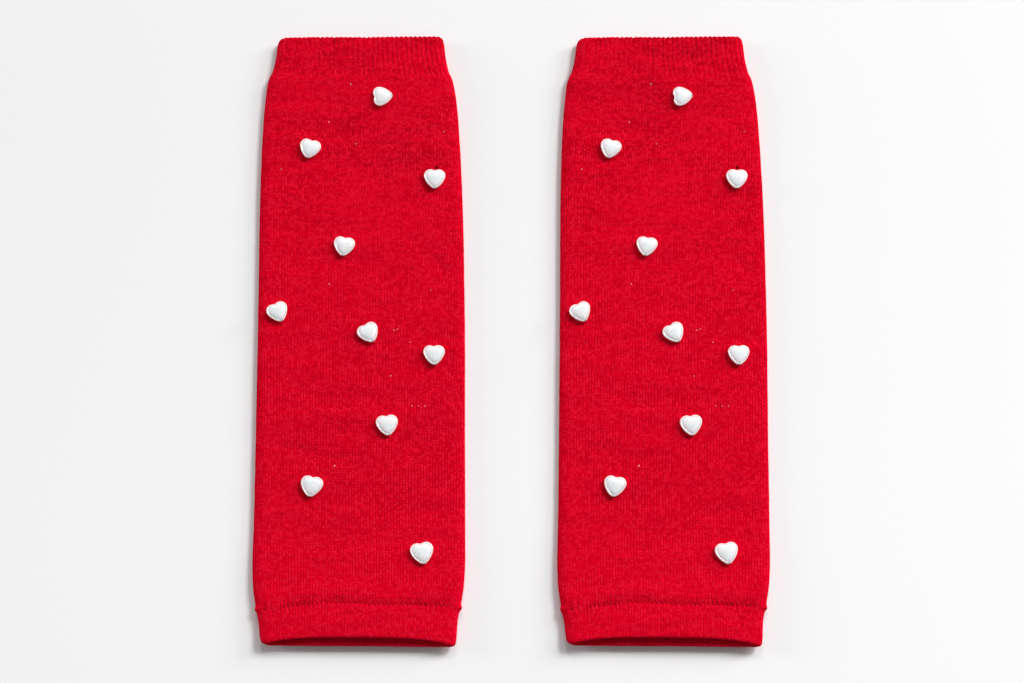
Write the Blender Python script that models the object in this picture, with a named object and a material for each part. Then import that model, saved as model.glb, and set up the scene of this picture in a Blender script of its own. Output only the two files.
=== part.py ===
"""A pair of knitted leg warmers with heart beads, laid flat side by side.

Each leg warmer is a seamless knitted tube with a turned double welt at its top and a turned double
hem at its mouth. Ten puffed heart beads are sewn to its front panel. X is across the pair, +Y runs
from the mouths to the welts and +Z is up from the surface the pair lies on. The origin is on that
surface, in the middle of the pair. Sizes are in millimetres and the meshes in metres.
"""

from collections import namedtuple
import math

import bmesh
import bpy
from mathutils import Matrix, Vector

MM = 0.001
SEAM_GAP = 0.3

# the cloth
KNIT_WALL = 1.4
DOUBLE_WALL = 2.3
FOLD_SHARE = 0.47
FOLD_MOST = 2.5
FOLD_REACH = 5.5

# the power by which the draw of the front panel falls off to the side folds, at a seam and at an edge
SEAM_DRAW_POWER = 2.0
EDGE_DRAW_POWER = 4.0

# how finely a section is cut
UNDERSIDE_STEPS = 6
FOLD_STEPS = 3
FRONT_STEPS = 14
LIP_STEPS = 4

# y: place along the leg warmer; half_width and height: the laid tube outside;
# shift: how far its centre line bows to +X; draw: how far the front panel is drawn back to +Y;
# corner: how much of the rounding at the corners of an edge it takes
Section = namedtuple("Section", "y half_width height shift draw corner")

WELT_TOP = 155.8
WELT_SEAM = 134.6
HEM_SEAM = -127.0
HEM_EDGE = -144.3

TUBE_SECTIONS = (
    Section(HEM_SEAM + SEAM_GAP, 46.9, 6.4, 0.0, 2.6, 0.0),
    Section(-123.4, 47.4, 6.1, 0.1, 2.4, 0.0),
    Section(-118.6, 48.2, 5.7, 0.1, 2.0, 0.0),
    Section(-109.5, 48.9, 5.0, 0.2, 1.1, 0.0),
    Section(-90.0, 49.0, 4.3, 0.4, 0.2, 0.0),
    Section(-66.0, 49.1, 4.2, 0.5, 0.0, 0.0),
    Section(-59.0, 49.1, 4.2, 0.6, 0.0, 0.0),
    Section(-54.0, 49.1, 4.2, 0.6, 0.0, 0.0),
    Section(-49.0, 49.1, 4.2, 0.6, 0.0, 0.0),
    Section(-42.0, 49.2, 4.2, 0.7, 0.0, 0.0),
    Section(-18.0, 49.3, 4.2, 0.8, 0.0, 0.0),
    Section(15.0, 49.4, 4.2, 0.9, 0.0, 0.0),
    Section(65.0, 49.3, 4.2, 0.6, 0.0, 0.0),
    Section(84.0, 49.0, 4.2, 0.4, 0.0, 0.0),
    Section(103.0, 48.4, 4.4, 0.3, 0.0, 0.0),
    Section(110.0, 48.0, 4.5, 0.2, 0.0, 0.0),
    Section(117.0, 47.6, 4.7, 0.2, 0.0, 0.0),
    Section(127.0, 46.6, 5.0, 0.1, 0.0, 0.0),
    Section(131.5, 45.9, 5.2, 0.0, 0.0, 0.0),
    Section(WELT_SEAM - SEAM_GAP, 45.1, 5.3, 0.0, 0.0, 0.0),
)

HEM_SECTIONS = (
    Section(HEM_SEAM, 46.8, 6.4, 0.0, 2.6, 0.0),
    Section(-129.5, 46.2, 6.6, 0.0, 2.7, 0.0),
    Section(-132.5, 45.6, 6.8, 0.0, 2.8, 0.1),
    Section(-137.0, 45.1, 7.0, 0.1, 3.0, 0.3),
    Section(-140.5, 44.9, 7.1, 0.1, 3.3, 0.7),
    Section(HEM_EDGE, 44.4, 7.2, 0.1, 3.6, 1.0),
)

WELT_SECTIONS = (
    Section(WELT_SEAM, 45.0, 5.3, 0.0, 0.0, 0.0),
    Section(137.0, 43.9, 5.3, 0.0, 0.0, 0.0),
    Section(140.0, 43.1, 5.4, 0.0, 0.0, 0.0),
    Section(144.5, 42.3, 5.4, 0.0, 0.0, 0.1),
    Section(149.5, 41.8, 5.4, 0.0, 0.0, 0.4),
    Section(153.0, 41.5, 5.4, 0.0, 0.0, 0.8),
    Section(WELT_TOP, 41.0, 5.4, 0.0, 0.0, 1.0),
)

# how an edge rounds off at its two side folds: how far in from the fold, and how far back
Corner = namedtuple("Corner", "reach drop")
CORNER_POWER = 2.2

# a double band: which way it runs away from its seam along y, how far its edge rises to the
# right side fold, how far its back layer curls up there, and its left and right corners
Band = namedtuple("Band", "name sections away rise curl corners")
WELT = Band("welt", WELT_SECTIONS, 1.0, 0.4, 0.0, {-1: Corner(5.0, 1.7), 1: Corner(2.5, 1.5)})
HEM = Band("hem", HEM_SECTIONS, -1.0, -0.45, 2.0, {-1: Corner(5.0, 2.0), 1: Corner(3.5, 0.9)})

# soft troughs in the front panel: the middle, the reach along and across, the depth, and the turn
Trough = namedtuple("Trough", "x y along across depth turn")
TROUGHS = (
    Trough(-33.0, -54.0, 19.0, 6.0, 0.6, -6.0),
    Trough(-20.0, 110.0, 24.0, 7.0, 0.4, -12.0),
)

# the beads
BEAD_WIDTH = 10.5
BEAD_HEIGHT = 9.8
BEAD_THICKNESS = 2.4
LOBE_RADIUS = 3.2
TIP_RADIUS = 2.2
SIDE_RADIUS = 10.0
LOBE_STEPS = 5
SIDE_STEPS = 2
TIP_STEPS = 1
BEAD_CENTRE = Vector((0.0, 0.6))
BEAD_GAP = 0.35

# the bead's profile from its base up: height as a share of the thickness, and size of the outline
BeadRing = namedtuple("BeadRing", "rise size")
BEAD_RINGS = (
    BeadRing(0.00, 0.60),
    BeadRing(0.17, 0.90),
    BeadRing(0.42, 1.00),
    BeadRing(0.70, 0.94),
    BeadRing(0.90, 0.56),
    BeadRing(1.00, 0.22),
)

# one row for each bead: where it is sewn on each leg warmer, how its tip is turned from
# pointing at the mouth, and its size against the nominal bead
Bead = namedtuple("Bead", "left_x right_x y turn size")
BEADS = (
    Bead(10.7, 10.4, 123.2, 96.0, 0.97),
    Bead(-24.3, -24.5, 96.4, -14.0, 1.00),
    Bead(36.4, 36.8, 80.9, -1.0, 1.01),
    Bead(-7.3, -7.1, 46.4, -8.0, 0.99),
    Bead(-38.8, -38.8, 13.5, 23.0, 0.99),
    Bead(4.4, 5.5, 3.2, 27.0, 0.99),
    Bead(35.6, 36.2, -7.5, 1.0, 0.99),
    Bead(13.4, 13.3, -41.5, 6.0, 1.01),
    Bead(-21.6, -22.4, -70.5, -10.0, 1.01),
    Bead(29.5, 28.9, -101.7, 10.0, 1.04),
)

# finishes
KNIT_RED = (0.65, 0.003, 0.018)
PEARL_WHITE = (0.86, 0.84, 0.85)

# where each leg warmer lies, and how far it leans to +X for each millimetre along it
Place = namedtuple("Place", "side x y lean")
PLACES = (
    Place("left", -72.3, -6.22, -0.0173),
    Place("right", 71.5, -6.22, 0.0149),
)


def clear_scene():
    """Removes what the file starts with."""
    for old in list(bpy.data.objects):
        bpy.data.objects.remove(old)


def finish(name, colour, roughness, sheen):
    """A plain Principled material in the part's own colour."""
    material = bpy.data.materials.new(name)
    material.use_nodes = True
    shader = material.node_tree.nodes["Principled BSDF"]
    shader.inputs["Base Color"].default_value = (*colour, 1.0)
    shader.inputs["Roughness"].default_value = roughness
    shader.inputs["Metallic"].default_value = 0.0
    shader.inputs["Sheen Weight"].default_value = sheen
    material.diffuse_color = (*colour, 1.0)
    return material


def dome(x, half_width, power=2.0):
    """1 at the middle of the front panel and 0 at its side folds."""
    return max(0.0, 1.0 - abs(x / half_width) ** power)


def trough_depth(x, y):
    """How far the soft troughs let the front panel down at x, y."""
    depth = 0.0
    for trough in TROUGHS:
        turn = math.radians(trough.turn)
        over, up = x - trough.x, y - trough.y
        along = (over * math.cos(turn) + up * math.sin(turn)) / trough.along
        across = (up * math.cos(turn) - over * math.sin(turn)) / trough.across
        depth += trough.depth * math.exp(-along ** 2 - across ** 2)
    return depth


def fold_radius(section):
    """The radius of the underside's turn into a side fold."""
    return min(FOLD_SHARE * section.height, FOLD_MOST)


def front_height(x, section, inset=0.0):
    """Height of the front panel, or of the layer that lies inset under its outer face."""
    fold = fold_radius(section)
    half = section.half_width - inset
    reach = FOLD_REACH - inset
    past_flat = max(0.0, abs(x) - (half - reach)) / reach
    rounding = math.sqrt(max(0.0, 1.0 - past_flat ** 2))
    crown = (section.height - 2.0 * fold) * dome(x, half) - trough_depth(x, section.y) * rounding
    return fold + (fold - inset) * rounding + crown


def section_outline(section, inset):
    """The laid section as x, z and share of draw, from the underside's left end all the way round."""
    fold = fold_radius(section)
    half = section.half_width - inset
    radius = fold - inset
    reach = FOLD_REACH - inset
    power = SEAM_DRAW_POWER + (EDGE_DRAW_POWER - SEAM_DRAW_POWER) * section.corner
    outline = []
    flat = half - radius
    for step in range(1, UNDERSIDE_STEPS):
        outline.append((flat * (2.0 * step / UNDERSIDE_STEPS - 1.0), inset, 0.0))
    for step in range(FOLD_STEPS):
        angle = math.radians(90.0 * (step / FOLD_STEPS - 1.0))
        outline.append((flat + radius * math.cos(angle), fold + radius * math.sin(angle), 0.0))
    front = [half - reach + reach * math.cos(math.radians(90.0 * step / FOLD_STEPS))
             for step in range(FOLD_STEPS)]
    span = half - reach
    front += [span * (1.0 - 2.0 * step / FRONT_STEPS) for step in range(FRONT_STEPS + 1)]
    front += [-x for x in reversed(front[:FOLD_STEPS])]
    for x in front:
        outline.append((x, front_height(x, section, inset), dome(x, half, power)))
    for step in range(1, FOLD_STEPS + 1):
        angle = math.radians(90.0 * (2.0 + step / FOLD_STEPS))
        outline.append((radius * math.cos(angle) - flat, fold + radius * math.sin(angle), 0.0))
    return outline


def corner_drop(x, section, corners):
    """How far an edge falls back at its corners."""
    corner = corners[1 if x > 0.0 else -1]
    past = (abs(x) - (section.half_width - corner.reach)) / corner.reach
    return section.corner * corner.drop * max(0.0, past) ** CORNER_POWER


def ring(section, inset, band=None, along=0.0):
    """One ring of points round a section, moved along the leg warmer by along."""
    points = []
    for x, z, draw in section_outline(section, inset):
        y = section.y + along + section.draw * draw
        if band:
            y += section.corner * band.rise * x / section.half_width
            y -= band.away * corner_drop(x, section, band.corners)
            z += section.corner * band.curl * (1.0 - z / section.height)
        points.append(Vector((x + section.shift, y, z)))
    return points


def cloth_wall(name, rings, material, parent):
    """Lofts rings that run out along the outer face and back along the inner face into one wall."""
    mesh = bmesh.new()
    loops = [[mesh.verts.new(point) for point in points] for points in rings]
    for here, there in zip(loops, loops[1:] + loops[:1]):
        for index in range(len(here)):
            after = (index + 1) % len(here)
            mesh.faces.new((here[index], here[after], there[after], there[index]))
    # the laid cloth leans sideways along its length, with its rows of knitting left level
    lean = Matrix.Identity(4)
    lean[0][1] = parent["lean"]
    bmesh.ops.transform(mesh, matrix=lean, verts=mesh.verts)
    return add_object(name, mesh, material, parent)


def add_object(name, mesh, material, parent):
    """Makes the named object of a finished bmesh, in metres, and hangs it on its leg warmer."""
    bmesh.ops.scale(mesh, verts=mesh.verts, vec=(MM, MM, MM))
    bmesh.ops.triangulate(mesh, faces=mesh.faces)
    bmesh.ops.recalc_face_normals(mesh, faces=mesh.faces)
    data = bpy.data.meshes.new(name)
    mesh.to_mesh(data)
    mesh.free()
    data.materials.append(material)
    piece = bpy.data.objects.new(name, data)
    piece.parent = parent
    parent.users_collection[0].objects.link(piece)
    return piece


def knitted_tube(side, parent, material):
    """The single layer of knit between the welt and the hem, open at both ends."""
    outer = [ring(section, 0.0) for section in TUBE_SECTIONS]
    inner = [ring(section, KNIT_WALL) for section in reversed(TUBE_SECTIONS)]
    return cloth_wall(f"{side}_tube", outer + inner, material, parent)


def double_band(side, band, parent, material):
    """A welt or a hem: a double layer from its seam out to its turned edge, and back inside."""
    radius = DOUBLE_WALL / 2.0
    rings = [ring(section, 0.0, band) for section in band.sections[:-1]]
    edge = band.sections[-1]
    for step in range(LIP_STEPS + 1):
        angle = math.pi * step / LIP_STEPS
        inset = radius * (1.0 - math.cos(angle))
        rings.append(ring(edge, inset, band, band.away * radius * (math.sin(angle) - 1.0)))
    rings += [ring(section, DOUBLE_WALL, band) for section in band.sections[-2::-1]]
    return cloth_wall(f"{side}_{band.name}", rings, material, parent)


def section_at(y):
    """The tube's section at any place along it."""
    for low, high in zip(TUBE_SECTIONS, TUBE_SECTIONS[1:]):
        if low.y <= y <= high.y:
            share = (y - low.y) / (high.y - low.y)
            return Section(*(a + (b - a) * share for a, b in zip(low, high)))
    raise ValueError(f"no tube at {y}")


def panel_point(x, y):
    """The point of the front panel's outer face above or below x, y."""
    section = section_at(y)
    return Vector((x, y, front_height(x - section.shift, section)))


def panel_normal(x, y):
    """The way the front panel faces at x, y."""
    step = 1.0
    across = panel_point(x + step, y) - panel_point(x - step, y)
    along = panel_point(x, y + step) - panel_point(x, y - step)
    return across.cross(along).normalized()


def arc(centre, radius, start, end, steps):
    """Points on an arc from start to end, in radians, without the last one."""
    angles = [start + (end - start) * step / steps for step in range(steps)]
    return [centre + radius * Vector((math.cos(a), math.sin(a))) for a in angles]


def heart_outline():
    """The bead's outline about its middle: two lobes, slightly rounded sides and a blunt tip at -Y."""
    lobe = Vector((BEAD_WIDTH / 2.0 - LOBE_RADIUS, BEAD_HEIGHT / 2.0 - LOBE_RADIUS))
    tip = Vector((0.0, TIP_RADIUS - BEAD_HEIGHT / 2.0))
    # the centre of the side's arc, which both the lobe and the tip touch from inside
    apart = lobe - tip
    to_tip = SIDE_RADIUS - TIP_RADIUS
    to_lobe = SIDE_RADIUS - LOBE_RADIUS
    along = (to_tip ** 2 - to_lobe ** 2 + apart.length_squared) / (2.0 * apart.length)
    off = math.sqrt(to_tip ** 2 - along ** 2)
    unit = apart.normalized()
    side = tip + unit * along + Vector((-unit.y, unit.x)) * off

    def heading(centre):
        return math.atan2(*reversed(centre - side))

    notch = math.acos(-lobe.x / LOBE_RADIUS)
    half = arc(lobe, LOBE_RADIUS, notch, heading(lobe), LOBE_STEPS)
    half += arc(side, SIDE_RADIUS, heading(lobe), heading(tip), SIDE_STEPS)
    half += arc(tip, TIP_RADIUS, heading(tip), -math.pi / 2.0, TIP_STEPS)
    half.append(Vector((0.0, -BEAD_HEIGHT / 2.0)))
    whole = half + [Vector((-point.x, point.y)) for point in reversed(half[1:-1])]
    return [point - BEAD_CENTRE for point in whole]


def heart_bead(name, bead, x, parent, material):
    """A puffed heart, drawn up ring by ring from its base, whose points lie just off the panel."""
    seat = panel_point(x, bead.y)
    normal = panel_normal(x, bead.y)
    tilt = Vector((0.0, 0.0, 1.0)).rotation_difference(normal).to_matrix()
    pose = tilt @ Matrix.Rotation(math.radians(bead.turn), 3, "Z")

    mesh = bmesh.new()
    start = bead.size * BEAD_RINGS[0].size
    base = [mesh.verts.new((point.x * start, point.y * start, 0.0)) for point in heart_outline()]
    face = mesh.faces.new(base)
    for below, above in zip(BEAD_RINGS, BEAD_RINGS[1:]):
        face = bmesh.ops.extrude_discrete_faces(mesh, faces=[face])["faces"][0]
        ring, share = list(face.verts), above.size / below.size
        rise = (above.rise - below.rise) * BEAD_THICKNESS * bead.size
        bmesh.ops.translate(mesh, verts=ring, vec=(0.0, 0.0, rise))
        bmesh.ops.scale(mesh, verts=ring, vec=(share, share, 1.0))
    mesh.faces.new(base)

    # the base takes the panel's own points, moved out, and the rest of the bead stands on it
    for vert in base:
        over = seat + pose @ vert.co
        vert.co.z = (panel_point(over.x, over.y) - seat).dot(normal)
    bmesh.ops.translate(mesh, verts=mesh.verts, vec=(0.0, 0.0, BEAD_GAP))

    bead_piece = add_object(name, mesh, material, parent)
    bead_piece.location = Vector((seat.x + parent["lean"] * seat.y, seat.y, seat.z)) * MM
    bead_piece.rotation_euler = pose.to_euler()
    return bead_piece


def leg_warmer(place, collection, knit, pearl):
    """One leg warmer, hung on an empty that lays it in its place."""
    lay = bpy.data.objects.new(f"{place.side}_place", None)
    lay.location = (place.x * MM, place.y * MM, 0.0)
    lay["lean"] = place.lean
    collection.objects.link(lay)
    knitted_tube(place.side, lay, knit)
    for band in (WELT, HEM):
        double_band(place.side, band, lay, knit)
    for number, bead in enumerate(BEADS, start=1):
        x = bead.left_x if place.side == "left" else bead.right_x
        heart_bead(f"{place.side}_heart_{number:02d}", bead, x, lay, pearl)


def main():
    clear_scene()
    collection = bpy.data.collections.new("leg_warmers")
    bpy.context.scene.collection.children.link(collection)
    knit = finish("red_knit", KNIT_RED, 0.9, 0.3)
    pearl = finish("pearl_plastic", PEARL_WHITE, 0.2, 0.0)
    for place in PLACES:
        leg_warmer(place, collection, knit, pearl)
    bpy.context.view_layer.update()


main()
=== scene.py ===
"""The looks of a pair of knitted leg warmers with pearl heart beads, laid flat side by side.

Sizes are in millimetres and the meshes in metres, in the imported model's own frame: X across the
pair, +Y from the open hems to the welts, +Z up from the surface that the pair lies on.
"""
from collections import namedtuple
from math import acos, atan2, cos, pi, radians, sin, sqrt

import bmesh
import bpy
from mathutils import Matrix, Vector
import numpy as np


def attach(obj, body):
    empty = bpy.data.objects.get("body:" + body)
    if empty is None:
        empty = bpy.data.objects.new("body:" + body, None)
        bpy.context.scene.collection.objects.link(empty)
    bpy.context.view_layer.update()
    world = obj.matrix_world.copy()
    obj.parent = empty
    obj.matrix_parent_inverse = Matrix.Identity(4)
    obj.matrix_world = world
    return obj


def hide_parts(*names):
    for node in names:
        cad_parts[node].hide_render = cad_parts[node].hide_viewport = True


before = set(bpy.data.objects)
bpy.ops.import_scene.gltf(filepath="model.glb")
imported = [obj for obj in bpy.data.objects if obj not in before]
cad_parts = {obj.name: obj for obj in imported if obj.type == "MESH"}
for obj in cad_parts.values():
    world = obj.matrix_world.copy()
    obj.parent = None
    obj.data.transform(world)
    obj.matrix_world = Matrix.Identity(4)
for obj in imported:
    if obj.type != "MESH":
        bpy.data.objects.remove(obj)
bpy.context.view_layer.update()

MM = 0.001

# ---- the cut and lie of the cloth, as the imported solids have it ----
SEAM_GAP = 0.3
SEAM_ROLL = 0.05
KNIT_WALL = 1.4
DOUBLE_WALL = 2.3
# the radius of the underside's turn into a side fold, as a share of the laid height and at most,
# and the reach over which the front panel rounds off
FOLD_SHARE = 0.47
FOLD_MOST = 2.5
FOLD_REACH = 5.5
# the power by which the creases of the underside die away towards the side folds
BACK_POWER = 8
WELT_TOP = 155.8
WELT_SEAM = 134.6
HEM_SEAM = -127.0
HEM_EDGE = -144.3
# the power by which the draw of the front panel falls off to the side folds, at a seam and at an edge
SEAM_DRAW_POWER = 2.0
EDGE_DRAW_POWER = 4.0

# y: place along the leg warmer; half and height: the laid tube outside; shift: its bow to +X;
# draw: how far the front panel is drawn back to +Y; corner: its share of an edge's round corners
Section = namedtuple("Section", "y half height shift draw corner", defaults=(0.0, 0.0))
SECTIONS = tuple(Section(*row) for row in (
    (HEM_EDGE, 44.4, 7.2, 0.1, 3.6, 1.0),
    (-140.5, 44.9, 7.1, 0.1, 3.3, 0.7),
    (-137.0, 45.1, 7.0, 0.1, 3.0, 0.3),
    (-132.5, 45.6, 6.8, 0.0, 2.8, 0.1),
    (-129.5, 46.2, 6.6, 0.0, 2.7),
    (HEM_SEAM, 46.8, 6.4, 0.0, 2.6),
    (-123.4, 47.4, 6.1, 0.1, 2.4),
    (-118.6, 48.2, 5.7, 0.1, 2.0),
    (-109.5, 48.9, 5.0, 0.2, 1.1),
    (-90.0, 49.0, 4.3, 0.4, 0.2),
    (-54.0, 49.1, 4.2, 0.6),
    (-18.0, 49.3, 4.2, 0.8),
    (15.0, 49.4, 4.2, 0.9),
    (65.0, 49.3, 4.2, 0.6),
    (84.0, 49.0, 4.2, 0.4),
    (103.0, 48.4, 4.4, 0.3),
    (117.0, 47.6, 4.7, 0.2),
    (127.0, 46.6, 5.0, 0.1),
    (131.5, 45.9, 5.2, 0.0),
    (WELT_SEAM, 45.0, 5.3, 0.0),
    (137.0, 43.9, 5.3, 0.0),
    (140.0, 43.1, 5.4, 0.0),
    (144.5, 42.3, 5.4, 0.0, 0.0, 0.1),
    (149.5, 41.8, 5.4, 0.0, 0.0, 0.4),
    (153.0, 41.5, 5.4, 0.0, 0.0, 0.8),
    (WELT_TOP, 41.0, 5.4, 0.0, 0.0, 1.0),
))
SECTION_Y = np.array([row.y for row in SECTIONS])

# a turned band: its seam, its edge and the way it runs; how far its edge rises to the right side
# fold and its back layer curls up; the reach and fall of its left and right corners; the depth of
# its ribs, its wales and its lip's ribs; its rows, those of its lip, and its sewn end's radius
CORNER_POWER = 2.2
Band = namedtuple("Band", "seam edge away rise curl left right rib wale lip_rib rows lip_rows roll")
WELT = Band(WELT_SEAM, WELT_TOP, 1.0, 0.4, 0.0, (5.0, 1.7), (2.5, 1.5), 0.21, 0.07, 0.22, 26, 9, 0.1)
HEM = Band(HEM_SEAM, HEM_EDGE, -1.0, -0.45, 2.0, (5.0, 2.0), (3.5, 0.9), 0.03, 0.06, 0.05, 34, 11,
           SEAM_ROLL)

# where each leg warmer lies, and how far it leans to +X for each millimetre along it
Place = namedtuple("Place", "side x y lean")
PLACES = (
    Place("left", -72.3, -6.22, -0.0173),
    Place("right", 71.5, -6.22, 0.0149),
)

# soft troughs laid into a panel, or ridges where the depth is below zero: the middle, the
# reach along and across, the depth and the turn
Crease = namedtuple("Crease", "x y along across depth turn")
FRONT_CREASES = tuple(Crease(*row) for row in (
    (-33.0, -54.0, 19.0, 6.0, 0.60, -6.0),
    (-20.0, 110.0, 24.0, 7.0, 0.40, -12.0),
    (-31.0, -52.5, 9.0, 1.7, 0.35, -9.0),
    (-41.5, 21.5, 5.0, 1.4, 0.40, -14.0),
    (-5.0, 106.0, 11.0, 2.6, 0.25, -20.0),
    (38.0, 36.0, 9.0, 2.6, 0.35, -52.0),
    (-16.0, -30.0, 20.0, 3.2, 0.20, -24.0),
    (-9.0, -34.9, 3.5, 1.2, 0.20, -4.0),
    (-40.0, -70.5, 8.0, 1.3, 0.22, 3.0),
    (-26.0, -104.0, 24.0, 2.2, -0.22, -3.0),
    (14.0, 61.0, 30.0, 6.0, 0.18, 8.0),
    (22.0, 127.0, 24.0, 2.4, 0.22, 4.0),
    (-24.0, 121.0, 20.0, 2.2, 0.18, -3.0),
    (18.0, 144.0, 16.0, 4.5, 0.25, 6.0),
    (22.0, -22.0, 26.0, 8.0, -0.09, 12.0),
    (10.0, -88.0, 26.0, 6.0, -0.08, 7.0),
    (-37.0, -60.0, 13.0, 4.5, 0.35, -4.0),
    (-42.0, -117.0, 9.0, 4.0, 0.35, -3.0),
    (-20.0, 105.5, 24.0, 5.5, 0.28, -14.0),
    (31.0, 42.0, 14.0, 5.5, 0.30, -50.0),
    (-25.0, -20.5, 20.0, 4.0, 0.15, 0.0),
    (20.0, 147.0, 22.0, 5.0, 0.22, 0.0),
))
BACK_CREASES = tuple(Crease(*row) for row in (
    (20.0, 70.0, 26.0, 5.0, 0.35, 14.0),
    (-24.0, 8.0, 30.0, 4.0, 0.30, -10.0),
    (14.0, -60.0, 22.0, 3.0, 0.40, 6.0),
    (-18.0, -100.0, 28.0, 5.0, 0.25, -4.0),
    (-6.0, 118.0, 20.0, 3.0, 0.20, 9.0),
))

# the knitting: wales and ribs round the cloth, how deep the tube's wales and how flat a band's are,
# how far the ribs of its lip reach in, and a course's height
WALES = 144
RIBS = 72
WALE_DEPTH = 0.08
BAND_WALE_POWER = 0.8
LIP_REACH = 2.0
COURSE = 0.95

# soft uneven waves in the knit: height, the seed they are drawn from, length, and how many times
# longer they are along x
Wave = namedtuple("Wave", "height seed length stretch", defaults=(1.0,))
WAVE_PARTS = 14
WALE_STRAY = Wave(0.0016, 5, 55.0)
STRAY_ROUND = 30.0
TUBE_WAVE = Wave(0.35, 31, 14.0)
BAND_WAVE = Wave(0.45, 41, 11.0, 0.6)
BAND_SWAY = 0.4
BAND_SWAY_LENGTH = 27.0
BAND_MOST = 1.9
SLACK_WAVES = (Wave(0.024, 23, 4.2, 3.0), Wave(0.05, 21, 8.0, 3.4), Wave(0.07, 22, 19.0, 2.4))
# the share of slack lost at a side fold, over what reach, and the shift between layers' waves
SLACK_LOSS = 0.85
SLACK_REACH = 5.0
LAYER_SHIFT = 2.0

# how finely the cloth is cut: columns round it, points along a section's folds, underside and
# front, and rows on the tube's body, near its seam, up its inner face and round a rolled end
TUBE_AROUND = 3 * WALES
BAND_AROUND = 4 * WALES
FOLD_POINTS = 24
UNDER_POINTS = 60
FRONT_POINTS = 120
BODY_ROWS = 146
SEAM_ROWS = 24
INNER_ROWS = 20
ROLL_ROWS = 6

# how far in from a band's edge its inner face takes on painted light, a lighter red that sets how bright the
# shaded inside of a mouth looks
INSIDE_REACH = 4.5

# where the tube tucks under the welt: its reach, and how deep its faces lie there and at the start
TUCK_REACH = 0.8
TUCK_FACE = 0.3
TUCK_BACK = 0.9
TUCK_START = 0.06

# the linking seam of tube and hem: its stitches, how far from a rolled end the plain rows begin,
# how far from the seam the tube's fine rows and its inner face begin, the tongue of tube inside
# the hem, and how far the seam wanders
SEAM_STITCHES = 88
ROLL_CLEAR = 0.4
SEAM_ZONE = 11.0
INNER_START = 3.0
TONGUE_REACH = 0.8
TONGUE_FACE = 0.03
TONGUE_BACK = 0.9
WANDER = 0.5
WANDER_SHIFT = 16.0
WANDER_LENGTH = 54.0
WANDER_REACH = 7.0

# how the seam's stitches draw the cloth in and pucker it, the more at spots along the mouth, each
# by its strength, middle and reach, and the nub on each side fold
SINK_DEPTH = 0.56
SINK_MIDDLE = 0.5
SINK_REACH = 1.9
SINK_LEAST = 0.25
SINK_SPOTS = ((0.75, 10.0, 30.0),)
SINK_WAVE = Wave(0.25, 14, 15.0)
PUCKER_DEPTH = 0.20
PUCKER_BIAS = 0.4
PUCKER_REACH = 3.0
TIGHT_LEAST = 0.45
TIGHT_SPOTS = ((0.7, -38.0, 14.0), (0.45, -22.0, 7.0), (0.4, 40.0, 8.0))
PUCKER_WAVE = Wave(0.28, 11, 7.0)
STITCH_WAVE = Wave(0.9, 12, 16.0)
NUB_RISE = 0.85
NUB_WIDTH = 2.4
NUB_REACH = 1.3

# the linking thread: its radius, and the lines it crosses, by their place from the seam and depth
SEAM_THREAD = 0.16
SEAM_LINES = ((SEAM_GAP + 1.05, 0.22), (SEAM_GAP / 2.0, 0.25), (-1.0, 0.22))
SEAM_ORDER = (0, 1, 2, 1)

# ---- the beads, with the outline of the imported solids, and what holds them ----
# the bead: its size, the radii and steps of its outline's arcs, its notch's depth, its gap off the
# knit, the height of its waist, the margin round its cap, and its levels of rounding
BEAD_WIDTH = 10.5
BEAD_HEIGHT = 9.8
BEAD_THICKNESS = 2.4
LOBE_RADIUS = 3.2
TIP_RADIUS = 2.2
SIDE_RADIUS = 10.0
LOBE_STEPS = 6
SIDE_STEPS = 3
TIP_STEPS = 2
NOTCH_DEPTH = 0.7
BEAD_CENTRE = Vector((0.0, 0.6))
BEAD_TIP = -BEAD_HEIGHT / 2.0 - BEAD_CENTRE.y
BEAD_NOTCH = BEAD_HEIGHT / 2.0 - BEAD_CENTRE.y - NOTCH_DEPTH
BEAD_GAP = 0.15
BEAD_WAIST = 0.42
BEAD_CAP = 0.3
BEAD_ROUNDING = 2

# the drilled hole at the tip, and its rim: sides, foot and top against the hole, depth, place in
# from the tip, lip, and how far the hole is sunk
HOLE_RADIUS = 0.5
RIM_SIDES = 10
RIM_FOOT = 1.5
RIM_TOP = 1.1
RIM_DEPTH = 0.9
RIM_SET = 0.60
RIM_LIP = 0.4
HOLE_SINK = 0.35

# the thread out of each end of a bead: its radius, and its run out from the end and up
THREAD_RADIUS = 0.18
THREAD_RUN = ((0.7, 1.0), (-0.1, 1.05), (-0.3, 0.85), (-0.32, 0.5), (-0.2, 0.1), (0.1, -0.4))

# the bead's profile from its base up: height as a share of the thickness, size of the outline, and
# how much it takes the pinkish edge, a painted reflection of the red knit, or the grey line, painted shade in
# the groove
BeadRing = namedtuple("BeadRing", "rise size edge line", defaults=(0.0, 0.0))
BEAD_RINGS = tuple(BeadRing(*row) for row in (
    (0.01, 0.60, 1.0),
    (0.16, 0.89, 1.0),
    (0.29, 0.98, 1.0),
    (BEAD_WAIST, 1.0, 1.0),
    (0.58, 0.998, 1.0),
    (0.72, 0.98, 1.0),
    (0.80, 0.945, 1.0),
    (0.785, 0.895, 0.8),
    (0.72, 0.845, 0.4, 0.6),
    (0.69, 0.81, 0.0, 0.8),
    (0.74, 0.78, 0.0, 0.3),
    (0.815, 0.725),
    (0.89, 0.63),
    (0.94, 0.49),
    (0.975, 0.33),
    (0.998, 0.13),
))

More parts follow.
